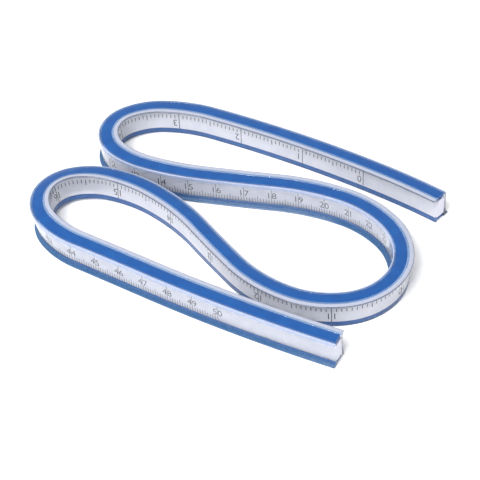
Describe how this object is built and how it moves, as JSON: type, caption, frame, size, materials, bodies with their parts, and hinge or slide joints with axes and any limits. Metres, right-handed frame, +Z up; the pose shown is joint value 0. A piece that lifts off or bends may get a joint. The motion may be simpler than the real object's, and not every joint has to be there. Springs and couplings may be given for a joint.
{
  "type": "flexible curve ruler",
  "caption": "Flexible curve ruler: a bendable PVC strip with inch and centimetre scales, blue edge strips and clear drawing lips, folded into an S.",
  "frame": {"origin": "under the middle of the folded ruler's box, on the surface it lies on", "axes": "+Z up, along the height of the section; +X along the folded ruler's longer side, towards the end where both scales start; +Y towards the first bend"},
  "size_m": [0.1453, 0.1349, 0.0101],
  "materials": {
    "clear_pvc": "clear flexible PVC, glossy",
    "blue_pvc": "blue flexible PVC, soft gloss",
    "white_pvc": "white flexible PVC, satin",
    "lead": "dull grey lead",
    "spring_steel": "blued spring steel strip"
  },
  "bodies": {
    "stretch_01": {"sheath_01": "clear_pvc", "edge_strips_01": "blue_pvc", "jacket_01": "white_pvc", "lead_bar_01": "lead", "spring_strips_01": "spring_steel", "end_plug_zero": "white_pvc"},
    "stretch_02": {"sheath_02": "clear_pvc", "edge_strips_02": "blue_pvc", "jacket_02": "white_pvc", "lead_bar_02": "lead", "spring_strips_02": "spring_steel"},
    "stretch_03": {"sheath_03": "clear_pvc", "edge_strips_03": "blue_pvc", "jacket_03": "white_pvc", "lead_bar_03": "lead", "spring_strips_03": "spring_steel"},
    "stretch_04": {"sheath_04": "clear_pvc", "edge_strips_04": "blue_pvc", "jacket_04": "white_pvc", "lead_bar_04": "lead", "spring_strips_04": "spring_steel"},
    "stretch_05": {"sheath_05": "clear_pvc", "edge_strips_05": "blue_pvc", "jacket_05": "white_pvc", "lead_bar_05": "lead", "spring_strips_05": "spring_steel"},
    "stretch_06": {"sheath_06": "clear_pvc", "edge_strips_06": "blue_pvc", "jacket_06": "white_pvc", "lead_bar_06": "lead", "spring_strips_06": "spring_steel"},
    "stretch_07": {"sheath_07": "clear_pvc", "edge_strips_07": "blue_pvc", "jacket_07": "white_pvc", "lead_bar_07": "lead", "spring_strips_07": "spring_steel"},
    "stretch_08": {"sheath_08": "clear_pvc", "edge_strips_08": "blue_pvc", "jacket_08": "white_pvc", "lead_bar_08": "lead", "spring_strips_08": "spring_steel"},
    "stretch_09": {"sheath_09": "clear_pvc", "edge_strips_09": "blue_pvc", "jacket_09": "white_pvc", "lead_bar_09": "lead", "spring_strips_09": "spring_steel"},
    "stretch_10": {"sheath_10": "clear_pvc", "edge_strips_10": "blue_pvc", "jacket_10": "white_pvc", "lead_bar_10": "lead", "spring_strips_10": "spring_steel"},
    "stretch_11": {"sheath_11": "clear_pvc", "edge_strips_11": "blue_pvc", "jacket_11": "white_pvc", "lead_bar_11": "lead", "spring_strips_11": "spring_steel", "end_plug_fifty": "white_pvc"}
  },
  "joints": [
    {"name": "first_bend_a", "type": "hinge", "parent": "stretch_02", "child": "stretch_01", "pos_m": [-0.02911, 0.06315, 0.00505], "axis": [0, 0, 1], "range_deg": [0, 64]},
    {"name": "first_bend_b", "type": "hinge", "parent": "stretch_03", "child": "stretch_02", "pos_m": [-0.04455, 0.05391, 0.00505], "axis": [0, 0, 1], "range_deg": [0, 64]},
    {"name": "first_bend_c", "type": "hinge", "parent": "stretch_04", "child": "stretch_03", "pos_m": [-0.04111, 0.03823, 0.00505], "axis": [0, 0, 1], "range_deg": [0, 64]},
    {"name": "second_bend_a", "type": "hinge", "parent": "stretch_04", "child": "stretch_05", "pos_m": [0.04237, 0.00226, 0.00505], "axis": [0, 0, 1], "range_deg": [0, 56]},
    {"name": "second_bend_b", "type": "hinge", "parent": "stretch_05", "child": "stretch_06", "pos_m": [0.05314, -0.02647, 0.00505], "axis": [0, 0, 1], "range_deg": [0, 56]},
    {"name": "second_bend_c", "type": "hinge", "parent": "stretch_06", "child": "stretch_07", "pos_m": [0.0399, -0.04288, 0.00505], "axis": [0, 0, 1], "range_deg": [0, 56]},
    {"name": "second_bend_d", "type": "hinge", "parent": "stretch_07", "child": "stretch_08", "pos_m": [0.0132, -0.03913, 0.00505], "axis": [0, 0, 1], "range_deg": [0, 56]},
    {"name": "third_bend_a", "type": "hinge", "parent": "stretch_08", "child": "stretch_09", "pos_m": [-0.04159, 0.02431, 0.00505], "axis": [0, 0, -1], "range_deg": [0, 68]},
    {"name": "third_bend_b", "type": "hinge", "parent": "stretch_09", "child": "stretch_10", "pos_m": [-0.06413, 0.02353, 0.00505], "axis": [0, 0, -1], "range_deg": [0, 68]},
    {"name": "third_bend_c", "type": "hinge", "parent": "stretch_10", "child": "stretch_11", "pos_m": [-0.06734, 0.00681, 0.00505], "axis": [0, 0, -1], "range_deg": [0, 68]}
  ],
  "couplings": [
    {"joint": "second_bend_a", "follows": "first_bend_c", "ratio": 0.875},
    {"joint": "second_bend_d", "follows": "third_bend_a", "ratio": 0.82353}
  ]
}
